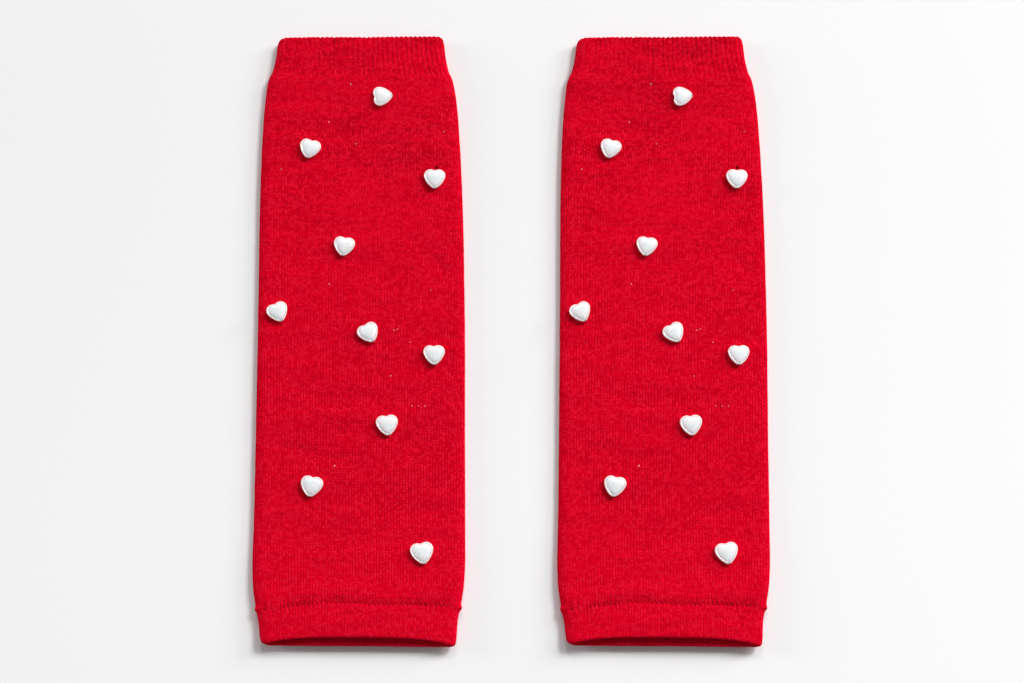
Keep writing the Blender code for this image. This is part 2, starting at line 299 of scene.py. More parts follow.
# one row for each bead: where it is sewn on each leg warmer, how its tip is turned from pointing
# at the mouth, and its size against the nominal bead
Bead = namedtuple("Bead", "left right y turn size")
BEADS = tuple(Bead(*row) for row in (
    (10.7, 10.4, 123.2, 96.0, 0.97),
    (-24.3, -24.5, 96.4, -14.0, 1.00),
    (36.4, 36.8, 80.9, -1.0, 1.01),
    (-7.3, -7.1, 46.4, -8.0, 0.99),
    (-38.8, -38.8, 13.5, 23.0, 0.99),
    (4.4, 5.5, 3.2, 27.0, 0.99),
    (35.6, 36.2, -7.5, 1.0, 0.99),
    (13.4, 13.3, -41.5, 6.0, 1.01),
    (-21.6, -22.4, -70.5, -10.0, 1.01),
    (29.5, 28.9, -101.7, 10.0, 1.04),
))

# flecks of pale lint caught in the knit: the radius, step, curl and height over the knit of their
# fibres, two for each, and x, y and size of each
FLECK_RADIUS = 0.085
FLECK_STEP = 0.28
FLECK_POINTS = 5
FLECK_CURL = 0.7
FLECK_RISE = 0.10
FLECK_SEED = 71
FLECKS = (
    (-4.6, 130.0, 1.0), (-15.3, 110.4, 0.7), (-2.0, 98.9, 0.6), (-38.5, 85.9, 0.6),
    (41.1, 105.2, 0.5), (-14.5, 27.4, 0.6), (16.6, 4.5, 0.7), (18.2, 4.9, 0.5),
    (24.2, -1.4, 0.5), (34.3, 24.4, 0.5), (15.1, -18.0, 0.5), (-11.2, -61.2, 0.9),
    (25.0, -32.5, 0.5), (28.0, -32.6, 0.4), (31.1, -32.5, 0.5),
)

# the stitch that a bead's thread has pulled open, shown as a spot of painted shade in the hole: its place,
# its radius and its fully dark share
PULLED = (37.3, 86.7)
PULLED_RADIUS = 1.3
PULLED_CORE = 0.35

# loose fibres standing off the yarn of each leg warmer: their number, share on each cloth, radius,
# lowest place, length, rise and bend, and the places along them where they bend
FIBRES = 1700
FIBRE_SHARES = {"tube": 0.74, "welt": 0.16, "hem": 0.10}
FIBRE_SEED = 61
FIBRE_RADIUS = 0.022
FIBRE_LOWEST = 1.0
FIBRE_LENGTH = (0.5, 1.6)
FIBRE_RISE = (0.15, 0.75)
FIBRE_BEND = (-0.5, 0.5)
FIBRE_ARCH = 1.3
FIBRE_POINTS = (0.0, 0.35, 0.7, 1.0)


# ---- the form of the cloth ----
def section_at(y):
    """The section at any place along a leg warmer, followed smoothly between the table's rows."""
    index = np.clip(np.searchsorted(SECTION_Y, y) - 1, 0, len(SECTION_Y) - 2)
    span = SECTION_Y[index + 1] - SECTION_Y[index]
    t = np.clip((y - SECTION_Y[index]) / span, 0.0, 1.0)
    eased, leaving, nearing = t * t * (3.0 - 2.0 * t), span * t * (1.0 - t) ** 2, span * t * t * (1.0 - t)
    columns = []
    for column in Section._fields[1:]:
        values = np.array([getattr(row, column) for row in SECTIONS])
        slopes = np.gradient(values, SECTION_Y)
        between = values[index] + (values[index + 1] - values[index]) * eased
        columns.append(between + slopes[index] * leaving - slopes[index + 1] * nearing)
    return Section(y, *columns)


def fold_radius(section):
    """The radius of the underside's turn into a side fold."""
    return np.minimum(FOLD_SHARE * section.height, FOLD_MOST)


def hollow(x, y, creases):
    """How far the creases lie under the smooth form of a panel at x, y."""
    depth = 0.0
    for crease in creases:
        turn = radians(crease.turn)
        over, up = x - crease.x, y - crease.y
        along = (over * cos(turn) + up * sin(turn)) / crease.along
        across = (up * cos(turn) - over * sin(turn)) / crease.across
        depth = depth + crease.depth * np.exp(-along ** 2 - across ** 2)
    return depth


def front_height(x, section, inset=0.0):
    """Height of the front panel's outer face, or of the layer that lies inset under it."""
    fold = fold_radius(section)
    half, reach = section.half - inset, FOLD_REACH - inset
    past_flat = np.clip((np.abs(x) - (half - reach)) / reach, 0.0, 1.0)
    rounding = np.sqrt(1.0 - past_flat ** 2)
    crown = (section.height - 2.0 * fold) * (1.0 - (x / half) ** 2)
    return fold + (fold - inset) * rounding + crown - hollow(x, section.y, FRONT_CREASES) * rounding


def panel_point(x, y):
    """The point of the front panel's outer face above or below x, y."""
    section = section_at(y)
    return Vector((x, y, float(front_height(x - section.shift, section))))


def panel_normal(x, y):
    """The way the front panel faces at x, y."""
    step = 1.0
    across = panel_point(x + step, y) - panel_point(x - step, y)
    along = panel_point(x, y + step) - panel_point(x, y - step)
    return across.cross(along).normalized()


def half_outline(section, inset, hand):
    """Half a laid section from the middle of its underside round to the middle of its front: the
    x and z of its points, and the share of the draw that each takes. hand is 1 right, -1 left."""
    fold = fold_radius(section)
    half, radius, reach = section.half - inset, fold - inset, FOLD_REACH - inset
    quarter = np.linspace(0.0, pi / 2.0, FOLD_POINTS)
    under = np.linspace(0.0, half - radius, UNDER_POINTS)
    fading = 1.0 - (under / half) ** BACK_POWER
    under_z = inset + hollow(hand * under, section.y, BACK_CREASES) * fading
    turn = half - radius + radius * np.sin(quarter[1:-1])
    turn_z = fold - radius * np.cos(quarter[1:-1])
    crown = np.linspace(half - reach, 0.0, FRONT_POINTS)
    over = np.concatenate([half - reach + reach * np.cos(quarter), crown[1:]])
    over_z = front_height(hand * over, section, inset)
    x = hand * np.concatenate([under, turn, over])
    z = np.concatenate([under_z, turn_z, over_z])
    power = SEAM_DRAW_POWER + (EDGE_DRAW_POWER - SEAM_DRAW_POWER) * section.corner
    draw = np.concatenate([np.zeros(len(under) + len(turn)), 1.0 - (over / half) ** power])
    return x, z, draw


def outline(section, inset):
    """A whole laid section, from the middle of its underside up its right side and back."""
    right, left = half_outline(section, inset, 1.0), half_outline(section, inset, -1.0)
    return [np.concatenate([a, b[::-1][1:]]) for a, b in zip(right, left)]


def corner_drop(x, section, band):
    """How far a turned edge falls back at its two corners."""
    fall = np.zeros_like(x)
    for (reach, most), there in ((band.left, x < 0.0), (band.right, x > 0.0)):
        past = np.clip((np.abs(x) - (section.half - reach)) / reach, 0.0, None)
        fall = np.where(there, most * past ** CORNER_POWER, fall)
    return section.corner * fall


# one row of the cloth round the tube: the section it follows, how deep in the wall it lies, how
# far it is moved along, its share of the outer face, and whether it is part of a wall's sewn end
Row = namedtuple("Row", "y inset along face end", defaults=(0.0, 0.0, 1.0, False))


def rolled_end(y, away, radius, wall):
    """Rows that roll a wall's end in from its outer face, and out again to its inner face."""
    angles = np.linspace(0.0, pi / 2.0, ROLL_ROWS)
    outer = [Row(y, radius * (1.0 - cos(a)), away * radius * (sin(a) - 1.0), 1.0, True)
             for a in angles]
    inner = [Row(y, wall - row.inset, row.along, 0.0, True) for row in reversed(outer)]
    return outer, inner


def tube_rows():
    """Down the outer face from under the welt, round a tongue in the hem, and up the inner face."""
    top, bottom = WELT_SEAM - SEAM_GAP, HEM_SEAM + SEAM_GAP / 2.0
    tuck = [Row(WELT_SEAM + TUCK_REACH, TUCK_FACE), Row(WELT_SEAM, TUCK_START)]
    body = np.linspace(top, bottom + SEAM_ZONE, BODY_ROWS)
    near_seam = np.linspace(bottom + SEAM_ZONE, bottom + SEAM_ROLL, SEAM_ROWS)[1:]
    roll, unroll = rolled_end(bottom, -1.0, SEAM_ROLL, KNIT_WALL)
    outer = tuck + [Row(y) for y in np.concatenate([body, near_seam])] + roll[1:]
    tongue = [Row(bottom, TONGUE_FACE, -TONGUE_REACH, 1.0, True),
              Row(bottom, TONGUE_BACK, -TONGUE_REACH, 0.0, True)]
    inner = unroll + [Row(y, KNIT_WALL, 0.0, 0.0) for y in np.linspace(bottom + INNER_START, top, INNER_ROWS)]
    return outer + tongue + inner + [Row(WELT_SEAM + TUCK_REACH, TUCK_BACK, 0.0, 0.0)]


def band_rows(band):
    """A turned band, from its seam out along its outer face, round its lip and back inside."""
    lip_radius = DOUBLE_WALL / 2.0
    lip_start = band.edge - band.away * lip_radius
    roll, unroll = rolled_end(band.seam - band.away * SEAM_GAP / 2.0, -band.away, band.roll, DOUBLE_WALL)
    first = band.seam + band.away * (band.roll + ROLL_CLEAR)
    rows = roll[::-1] + [Row(y) for y in np.linspace(first, lip_start, band.rows)]
    for step in range(1, band.lip_rows):
        angle = pi * step / band.lip_rows
        inset, along = lip_radius * (1.0 - cos(angle)), band.away * lip_radius * sin(angle)
        rows.append(Row(lip_start, inset, along, 1.0 - step / band.lip_rows))
    rows += [Row(y, DOUBLE_WALL, 0.0, 0.0) for y in np.linspace(lip_start, first, band.rows // 2)]
    rows += unroll[::-1]
    return rows if band.away < 0.0 else rows[::-1]


def ripple(wave, x, y):
    """Many plain waves of mixed headings and lengths at x, y, which add up to one uneven one."""
    rng = np.random.default_rng(wave.seed)
    total = 0.0
    for _ in range(WAVE_PARTS):
        angle, phase = rng.uniform(0.0, pi), rng.uniform(0.0, 2.0 * pi)
        pitch = 2.0 * pi / (wave.length * rng.uniform(0.7, 1.5))
        total = total + np.cos(pitch * (x / wave.stretch * cos(angle) + y * sin(angle)) + phase)
    return wave.height * (total * sqrt(2.0 / WAVE_PARTS))


def lay_rows(rows, around, band=None):
    """Points of every row at even steps round the cloth, in the leg warmer's own frame."""
    share = np.linspace(0.0, 1.0, around + 1)
    points = np.zeros((len(rows), around + 1, 3))
    for index, row in enumerate(rows):
        section = section_at(row.y)
        x, z, draw = outline(section, row.inset)
        length = np.concatenate([[0.0], np.cumsum(np.hypot(np.diff(x), np.diff(z)))])
        stray = ripple(WALE_STRAY, STRAY_ROUND * share, row.y) * np.sin(pi * share)
        x, z, draw = (np.interp(share + stray, length / length[-1], column) for column in (x, z, draw))
        near_seam = swell(row.y, HEM_SEAM, WANDER_REACH)
        wander = WANDER * near_seam * np.cos(2.0 * pi * (x + WANDER_SHIFT) / WANDER_LENGTH)
        y = row.y + row.along + section.draw * draw + wander
        if band:
            y = y + section.corner * band.rise * x / section.half - band.away * corner_drop(x, section, band)
            z = z + section.corner * band.curl * (1.0 - z / section.height)
        points[index] = np.stack([x + section.shift, y, z], axis=1)
    return points


def raised(points, rows, lift):
    """The points moved out along the cloth's own normals, by lift in millimetres. A sewn end moves
    with the face that it ends."""
    around = np.roll(points[:, :-1], -1, axis=1) - np.roll(points[:, :-1], 1, axis=1)
    around = np.concatenate([around, around[:, :1]], axis=1)
    normal = np.cross(around, np.gradient(points, axis=0))
    normal /= np.maximum(np.linalg.norm(normal, axis=2, keepdims=True), 1e-9)
    plain = np.array([index for index, row in enumerate(rows) if row.face == 1.0 and not row.end])
    for index, row in enumerate(rows):
        if row.end:
            normal[index] = normal[plain[np.abs(plain - index).argmin()]]
    return points + normal * lift[..., None]


def near_fold(points, reach):
    """1 at the two side folds, falling to 0 over reach."""
    out = np.abs(points[..., 0])
    return swell(out, out.max(axis=1, keepdims=True), reach)


def swell(x, middle, reach):
    """1 at the middle and falling softly to 0 past its reach."""
    return np.exp(-((x - middle) / reach) ** 2)


def swells(x, least, spots):
    """A least value with a swell added at each spot."""
    return sum((strength * swell(x, middle, reach) for strength, middle, reach in spots), least)


def seam_relief(points, rows):
    """How the linking stitches draw the cloth in, pucker it, and stand as a nub on each side fold."""
    turns = np.linspace(0.0, 1.0, points.shape[1])[None, :]
    from_seam = np.array([row.y + row.along - HEM_SEAM for row in rows])[:, None]
    x = points[..., 0]
    drawn = swells(x, SINK_LEAST, SINK_SPOTS) + ripple(SINK_WAVE, x, 0.0)
    sink = SINK_DEPTH * drawn * swell(from_seam, SINK_MIDDLE, SINK_REACH)
    tight = swells(x, TIGHT_LEAST, TIGHT_SPOTS)
    uneven = 1.0 + ripple(PUCKER_WAVE, x, 0.0)
    phase = 2.0 * pi * SEAM_STITCHES * turns + ripple(STITCH_WAVE, x, 0.0)
    reach = PUCKER_REACH * (0.5 + 0.5 * tight)
    dying = np.exp(-np.abs(from_seam) / reach)
    pucker = PUCKER_DEPTH * (np.cos(phase) - PUCKER_BIAS) * uneven * tight * dying
    nub = NUB_RISE * near_fold(points, NUB_WIDTH) * swell(from_seam, 0.0, NUB_REACH)
    return pucker + nub - sink


def ridges(points, count):
    """1 on the crest of each wale or rib round the cloth, and 0 in the groove between."""
    return 0.5 + 0.5 * np.cos(2.0 * pi * count * np.linspace(0.0, 1.0, points.shape[1]))[None, :]


def slack(points):
    """The small soft unevenness of relaxed knit, longer across than along and least at the folds."""
    x, y = points[..., 0] + LAYER_SHIFT * points[..., 2], points[..., 1]
    waves = sum(ripple(wave, x, y) for wave in SLACK_WAVES)
    return waves * (1.0 - SLACK_LOSS * near_fold(points, SLACK_REACH))


def tube_relief(points, rows):
    """How far the tube's knit stands off its smooth form."""
    face = np.array([row.face for row in rows])[:, None]
    uneven = np.maximum(1.0 + ripple(TUBE_WAVE, points[..., 0], points[..., 1]), 0.0)
    wales = WALE_DEPTH * (ridges(points, WALES) - 1.0) * uneven
    return wales * face + face * (slack(points) + seam_relief(points, rows))


def band_relief(points, rows, band):
    """How far the wales and the mock rib of a turned band stand off its smooth form."""
    face = np.array([row.face for row in rows])[:, None]
    x, y = points[..., 0], points[..., 1]
    sway = BAND_SWAY * np.sin(x / BAND_SWAY_LENGTH)
    uneven = np.clip(1.0 + ripple(BAND_WAVE, x, y) + sway, 0.0, BAND_MOST)
    ribs = ridges(points, RIBS) - 1.0
    wales = band.wale * (ridges(points, WALES) ** BAND_WALE_POWER - 1.0)
    lip = band.lip_rib * ribs * swell(y, band.edge, LIP_REACH)
    relief = (band.rib * ribs + wales) * uneven + lip + face * slack(points)
    if band is HEM:
        relief = relief + face * seam_relief(points, rows)
    return relief


def set_down(points, place):
    """The points leaned and moved to where the leg warmer lies, and none of them under the floor."""
    placed = points.copy()
    placed[..., 0] += place.x + place.lean * points[..., 1]
    placed[..., 1] += place.y
    placed[..., 2] = np.maximum(placed[..., 2], 0.0)
    return placed


def course_count(points):
    """How many courses each row is from the first, along the middle of the front."""
    steps = np.linalg.norm(np.diff(points[:, points.shape[1] // 2], axis=0), axis=1)
    return np.concatenate([[0.0], np.cumsum(steps)]) / COURSE


# ---- meshes ----
def link(name, data):
    """A new object in the scene."""
    thing = bpy.data.objects.new(name, data)
    bpy.context.scene.collection.objects.link(thing)
    return thing


def show(name, form, material):
    """The named object of a form in metres, in the frame's own place. The form is used up."""
    mesh = bpy.data.meshes.new(name)
    form.to_mesh(mesh)
    form.free()
    mesh.materials.append(material)
    return link(name, mesh)


def smooth(form):
    for face in form.faces:
        face.smooth = True


def cloth_piece(name, points, rows_laid, band, material):
    """A grid bent onto the laid points, then closed round the tube and between its two faces."""
    courses = course_count(points)
    # how much of each row takes the painted light of the inner face
    depths = [abs(row.y - band.edge) / INSIDE_REACH if band else 1.0 for row in rows_laid]
    shade = [(1.0 - row.face) * min(depth, 1.0) for row, depth in zip(rows_laid, depths)]
    rows, columns = points.shape[:2]
    cloth = bmesh.new()
    knit = cloth.loops.layers.uv.new("knit")
    inside = cloth.verts.layers.float.new("inside")
    bmesh.ops.create_grid(cloth, x_segments=columns - 1, y_segments=rows - 1, size=0.5, calc_uvs=True)
    cloth.verts.ensure_lookup_table()
    for index, (vert, point) in enumerate(zip(cloth.verts, points.reshape(-1, 3))):
        vert.co = Vector(point) * MM
        vert[inside] = shade[index // columns]
    for face in cloth.faces:
        face.smooth = True
        for loop in face.loops:
            across, along = loop[knit].uv
            row = along * (rows - 1)
            loop[knit].uv = (across * WALES, courses[round(row)])
    bmesh.ops.remove_doubles(cloth, verts=cloth.verts, dist=1e-7)
    bmesh.ops.bridge_loops(cloth, edges=[edge for edge in cloth.edges if edge.is_boundary])
    bmesh.ops.recalc_face_normals(cloth, faces=cloth.faces)
    return show(name, cloth, material)


def strand_piece(name, strands, radius, material, roundness):
    """Many short round strands, each through its own points in millimetres, as one joined mesh."""
    curve = bpy.data.curves.new(name, "CURVE")
    curve.dimensions = "3D"
    curve.bevel_depth = radius * MM
    curve.bevel_resolution = roundness
    curve.use_fill_caps = True
    for strand in strands:
        spline = curve.splines.new("POLY")
        spline.points.add(len(strand) - 1)
        spline.points.foreach_set("co", [n for point in strand for n in (*(v * MM for v in point), 1.0)])
    bent = link(name, curve)
    drawn = bpy.data.meshes.new_from_object(bent.evaluated_get(bpy.context.evaluated_depsgraph_get()))
    bpy.data.objects.remove(bent)
    bpy.data.curves.remove(curve)
    welded = bmesh.new()
    welded.from_mesh(drawn)
    bpy.data.meshes.remove(drawn)
    bmesh.ops.remove_doubles(welded, verts=welded.verts, dist=1e-8)
    smooth(welded)
    return show(name, welded, material)


def arc(centre, radius, start, end, steps):
    """Points on an arc from start to end, in radians, without the last one."""
    angles = [start + (end - start) * step / steps for step in range(steps)]
    return [centre + radius * Vector((cos(a), sin(a))) for a in angles]


def heart_outline():
    """The bead's outline about its middle: two lobes, slightly rounded sides and a blunt tip at -Y."""
    lobe = Vector((BEAD_WIDTH / 2.0 - LOBE_RADIUS, BEAD_HEIGHT / 2.0 - LOBE_RADIUS))
    tip = Vector((0.0, TIP_RADIUS - BEAD_HEIGHT / 2.0))
    # the centre of the side's arc, which both the lobe and the tip touch from inside
    apart = lobe - tip
    to_tip = SIDE_RADIUS - TIP_RADIUS
    to_lobe = SIDE_RADIUS - LOBE_RADIUS
    along = (to_tip ** 2 - to_lobe ** 2 + apart.length_squared) / (2.0 * apart.length)
    off = sqrt(to_tip ** 2 - along ** 2)
    unit = apart.normalized()
    side = tip + unit * along + Vector((-unit.y, unit.x)) * off

    def heading(centre):
        return atan2(*reversed(centre - side))

    notch = acos(-lobe.x / LOBE_RADIUS)
    half = arc(lobe, LOBE_RADIUS, notch, heading(lobe), LOBE_STEPS)
    half += arc(side, SIDE_RADIUS, heading(lobe), heading(tip), SIDE_STEPS)
    half += arc(tip, TIP_RADIUS, heading(tip), -pi / 2.0, TIP_STEPS)
    half.append(Vector((0.0, -BEAD_HEIGHT / 2.0)))
    whole = half + [Vector((-point.x, point.y)) for point in reversed(half[1:-1])]
    return [point - BEAD_CENTRE for point in whole]


def drill_rim(mesh, at, way):
    """The small raised rim round the drilled hole, with the hole sunk into it."""
    turn = Vector((0.0, 0.0, 1.0)).rotation_difference(Vector((0.0, way, 0.0))).to_matrix().to_4x4()
    rim = bmesh.ops.create_cone(
        mesh, cap_ends=True, segments=RIM_SIDES, radius1=HOLE_RADIUS * RIM_FOOT,
        radius2=HOLE_RADIUS * RIM_TOP, depth=RIM_DEPTH, matrix=Matrix.Translation(at) @ turn)
    mouth = max({face for vert in rim["verts"] for face in vert.link_faces},
                key=lambda face: face.calc_center_median().y * way)
    bmesh.ops.inset_region(mesh, faces=[mouth], thickness=HOLE_RADIUS * RIM_LIP)
    sunk = bmesh.ops.extrude_discrete_faces(mesh, faces=[mouth])["faces"][0]
    bmesh.ops.translate(mesh, verts=list(sunk.verts), vec=(0.0, -HOLE_SINK * way, 0.0))


def bead_pose(place, bead):
    """Where a bead sits on its leg warmer, in millimetres, and how it is turned."""
    x = bead.left if place.side == "left" else bead.right
    seat, normal = panel_point(x, bead.y), panel_normal(x, bead.y)
    tilt = Vector((0.0, 0.0, 1.0)).rotation_difference(normal).to_matrix()
    return seat, normal, tilt @ Matrix.Rotation(radians(bead.turn), 3, "Z")


def heart_bead(name, place, bead, material):
    """A puffed heart drawn up ring by ring from a base that lies just off the panel."""
    seat, normal, pose = bead_pose(place, bead)
    mesh = bmesh.new()
    red_reflection_mark, groove_shade_mark = (mesh.verts.layers.float.new(mark) for mark in ("edge", "line"))
    first = BEAD_RINGS[0]
    base = [mesh.verts.new((*point * first.size, first.rise * BEAD_THICKNESS)) for point in heart_outline()]
    face = mesh.faces.new(base)
    for below, above in zip(BEAD_RINGS, BEAD_RINGS[1:]):
        face = bmesh.ops.extrude_discrete_faces(mesh, faces=[face])["faces"][0]
        ring = list(face.verts)
        share = above.size / below.size
        bmesh.ops.translate(mesh, verts=ring, vec=(0.0, 0.0, (above.rise - below.rise) * BEAD_THICKNESS))
        bmesh.ops.scale(mesh, verts=ring, vec=(share, share, 1.0))
        # the painted pinkish reflection on the bead's side and rim, and the painted shade in its groove
        for vert in ring:
            vert[red_reflection_mark], vert[groove_shade_mark] = above.edge, above.line
    for cap in (face, mesh.faces.new(base)):
        bmesh.ops.inset_region(mesh, faces=[cap], thickness=BEAD_CAP)
    waist = BEAD_WAIST * BEAD_THICKNESS
    drill_rim(mesh, Vector((0.0, BEAD_TIP + RIM_SET, waist)), -1.0)
    bmesh.ops.scale(mesh, verts=mesh.verts, vec=(bead.size,) * 3)

    # the underside follows the panel's own points, moved out
    for vert in mesh.verts:
        over = seat + pose @ vert.co
        sag = (panel_point(over.x, over.y) - seat).dot(normal)
        vert.co.z += BEAD_GAP + sag * max(0.0, 1.0 - vert.co.z / waist)
        vert.co = placed(seat + pose @ vert.co, place) * MM
    smooth(mesh)
    bmesh.ops.recalc_face_normals(mesh, faces=mesh.faces)
    piece = show(name, mesh, material)
    rounding = piece.modifiers.new("rounding", "SUBSURF")
    rounding.levels = rounding.render_levels = BEAD_ROUNDING
    return piece


def placed(point, place):
    """A point of a leg warmer's own frame where it lies, in millimetres."""
    return Vector((point[0] + place.x + place.lean * point[1], point[1] + place.y, point[2]))


def bead_threads(place):
    """The sewing thread of each bead, from its drilled hole down into the knit at tip and notch."""
    strands = []
    for bead in BEADS:
        seat, _, pose = bead_pose(place, bead)
        for end, way in ((BEAD_TIP, -1.0), (BEAD_NOTCH, 1.0)):
            strand = [Vector((0.0, end - way * out, up)) * bead.size for out, up in THREAD_RUN]
            strands.append([placed(seat + pose @ point, place) for point in strand])
    return strands


def seam_strand(place):
    """One linking thread that runs round the mouth, back and forth over the seam."""
    steps = len(SEAM_ORDER)
    around = SEAM_STITCHES * steps
    points = lay_rows([Row(HEM_SEAM + off, deep) for off, deep in SEAM_LINES], around)
    return [[placed(points[SEAM_ORDER[index % steps], index], place) for index in range(around + 1)]]


def fleck_strands(place):
    """Each fleck of lint as two short curled fibres lying on the knit."""
    rng = np.random.default_rng(FLECK_SEED)
    strands = []
    for x, y, size in FLECKS:
        for _ in range(2):
            heading = rng.uniform(0.0, 2.0 * pi)
            strand = []
            for step in range(FLECK_POINTS):
                out = FLECK_STEP * size * (step - FLECK_POINTS // 2)
                on = panel_point(x + out * cos(heading), y + out * sin(heading))
                heading += rng.uniform(-FLECK_CURL, FLECK_CURL)
                strand.append(placed(on + Vector((0.0, 0.0, FLECK_RISE)), place))
            strands.append(strand)
    return strands


def unit(vector):
    return vector / np.linalg.norm(vector)


def fibre_strands(laid, lines):
    """Fine fibres that stand off the outer faces of the laid cloths, in their own order."""
    rng = np.random.default_rng(FIBRE_SEED)
    strands = []
    for part, share in FIBRE_SHARES.items():
        points = laid[part]
        outer = [index for index, row in enumerate(lines[part][1:-1], start=1) if row.face == 1.0]
        for _ in range(int(FIBRES * share)):
            row = outer[rng.integers(len(outer))]
            column = rng.integers(1, points.shape[1] - 1)
            here = points[row, column]
            if here[2] < FIBRE_LOWEST:
                continue
            along = points[row + 1, column] - points[row - 1, column]
            across = points[row, column + 1] - points[row, column - 1]
            normal = unit(np.cross(across, along))
            lie = unit(unit(across) * rng.normal() + unit(along) * rng.normal())
            length, rise, bend = (rng.uniform(*span) for span in (FIBRE_LENGTH, FIBRE_RISE, FIBRE_BEND))
            side = np.cross(normal, lie)
            strand = [here + lie * length * t + normal * rise * length * t * (FIBRE_ARCH - t)
                      + side * bend * length * t * t for t in FIBRE_POINTS]
            for point in strand:
                point[2] = max(point[2], FIBRE_RADIUS)
            strands.append(strand)
    return strands


# ---- finishes ----
class Tree:
    """A node tree with short ways to add what the finishes use."""

    def __init__(self, tree):
        self.tree = tree

    def feed(self, sockets, values):
        """Sets each socket to its number or colour, or links another socket to it."""
        for key, value in values.items():
            if isinstance(value, bpy.types.NodeSocket):
                self.tree.links.new(value, sockets[key])
            else:
                sockets[key].default_value = value

    def node(self, kind, inputs=None, **settings):
        node = self.tree.nodes.new("ShaderNode" + kind)
        for name, value in settings.items():
            setattr(node, name, value)
        self.feed(node.inputs, inputs or {})
        return node

    def split(self, vector):
        return self.node("SeparateXYZ", {0: vector}).outputs

    def mark(self, name):
        """The mesh's own attribute of that name."""
        return self.node("Attribute", attribute_name=name).outputs["Fac"]

    def maths(self, operation, *values):
        return self.node("Math", dict(enumerate(values)), operation=operation).outputs[0]

    def weighed(self, *terms):
        """The sum of sockets, each times its own weight."""
        total = 0.0
        for socket, weight in terms:
            total = self.maths("MULTIPLY_ADD", socket, weight, total)
        return total

    def from_half(self, value):
        """0 half way between two whole numbers, and 1 on them."""
        off = self.maths("ABSOLUTE", self.maths("SUBTRACT", self.maths("FRACT", value), 0.5))
        return self.maths("MULTIPLY", off, 2.0)

    def noise(self, vector, scale, detail=2.0, roughness=0.5, stretch=None):
        if stretch:
            vector = self.node("Mapping", {"Vector": vector, "Scale": stretch}).outputs["Vector"]
        inputs = {"Vector": vector, "Scale": scale, "Detail": detail, "Roughness": roughness}
        return self.node("TexNoise", inputs).outputs["Fac"]

    def blend(self, share, first, second):
        return self.node("Mix", {"Factor": share, 6: first, 7: second}, data_type="RGBA").outputs[2]

    def ramp(self, value, low, high):
        """0 up to low, 1 from high, and soft between. It falls where low is above high."""
        inputs = {"Value": value, "From Min": low, "From Max": high}
        return self.node("MapRange", inputs, interpolation_type="SMOOTHSTEP").outputs["Result"]

    def bump(self, height, depth, strength=1.0, normal=None):
        """A bump whose full height is depth in millimetres."""
        inputs = {"Height": height, "Distance": depth * MM, "Strength": strength}
        if normal:
            inputs["Normal"] = normal
        return self.node("Bump", inputs).outputs["Normal"]


def new_group(name, inputs, outputs):
    """An empty shader node group with named sockets, its Tree, and its two end nodes."""
    group = bpy.data.node_groups.new(name, "ShaderNodeTree")
    for label, kind in inputs.items():
        group.interface.new_socket(name=label, in_out="INPUT", socket_type="NodeSocket" + kind)
    for label in outputs:
        group.interface.new_socket(name=label, in_out="OUTPUT", socket_type="NodeSocketFloat")
    given, put = (group.nodes.new("NodeGroup" + end) for end in ("Input", "Output"))
    return group, Tree(group), given.outputs, put.inputs


# a stitch: how it strays, and its legs' lean, thinning, start past the crest line and flatness
STRAY_SCALE = 0.45
STRAY_UP = 2.5
LEG_LEAN = 0.75
LEG_THINNING = 2.2
LEG_START = 0.12
LEG_FLATNESS = 0.6


def stitch_group():
    """Plain knit: a column of V stitches in each wale. Wales run along U, courses along V."""
    group, tree, given, put = new_group(
        "knit_stitches", {"Knit": "Vector", "Uneven": "Float"}, ("Height", "GapShade", "Stitch"))
    knit = tree.split(given["Knit"])
    wobble = tree.maths("SUBTRACT", tree.noise(given["Knit"], STRAY_SCALE), 0.5)
    wobble = tree.maths("MULTIPLY", wobble, given["Uneven"])
    wale = tree.maths("ADD", tree.maths("ADD", knit["X"], wobble), 0.5)
    course = tree.maths("ADD", knit["Y"], tree.maths("MULTIPLY", wobble, STRAY_UP))
    from_crest = tree.from_half(wale)
    leg = tree.maths("SUBTRACT", course, tree.maths("MULTIPLY", from_crest, LEG_LEAN))
    yarn = tree.maths("SUBTRACT", 1.0, tree.maths("POWER", tree.from_half(leg), LEG_THINNING))
    # each leg is highest half way between the crest line and the groove
    across = tree.maths("MULTIPLY", tree.maths("ADD", from_crest, LEG_START), pi / (1.0 + LEG_START))
    ridge = tree.maths("MAXIMUM", tree.maths("SINE", across), 0.0)
    height = tree.maths("MULTIPLY", yarn, tree.maths("POWER", ridge, LEG_FLATNESS))
    cell = {"X": tree.maths("FLOOR", wale), "Y": tree.maths("FLOOR", leg)}
    cell = {"Vector": tree.node("CombineXYZ", cell).outputs[0]}
    dice = tree.node("TexWhiteNoise", cell, noise_dimensions="2D")
    # the gap between the legs feeds the painted shade in the knit's colour
    tree.feed(put, {"Height": height, "GapShade": tree.maths("SUBTRACT", 1.0, height),
                    "Stitch": dice.outputs["Value"]})
    return group


# the tones of dyed yarn, soft clouds, streaks along courses and along wales, and fuzz, each by its
# scale, detail, roughness and stretch
YARN_TONES = {
    "Cloud": (52.0, 3.0, 0.55, (0.4, 1.0, 1.0)),
    "Streak": (520.0, 3.0, 0.6, (0.18, 1.0, 1.0)),
    "Column": (1300.0, 2.0, 0.6, (1.0, 0.28, 1.0)),
    "Fuzz": (1900.0, 2.0, 0.65),
}


def yarn_group():
    """Uneven dyed yarn, with one output for each of its tones."""
    group, tree, given, put = new_group("dyed_yarn", {"Place": "Vector"}, YARN_TONES)
    tree.feed(put, {name: tree.noise(given["Place"], *tone) for name, tone in YARN_TONES.items()})
    return group


def new_finish(name, colour):
    """An empty material, its Tree, its Principled shader's inputs, and the place of each point."""
    material = bpy.data.materials.new(name)
    material.use_nodes = True
    material.diffuse_color = (*colour, 1.0)
    tree = Tree(material.node_tree)
    shader = material.node_tree.nodes["Principled BSDF"].inputs
    return material, tree, shader, tree.node("TexCoord").outputs["Object"]


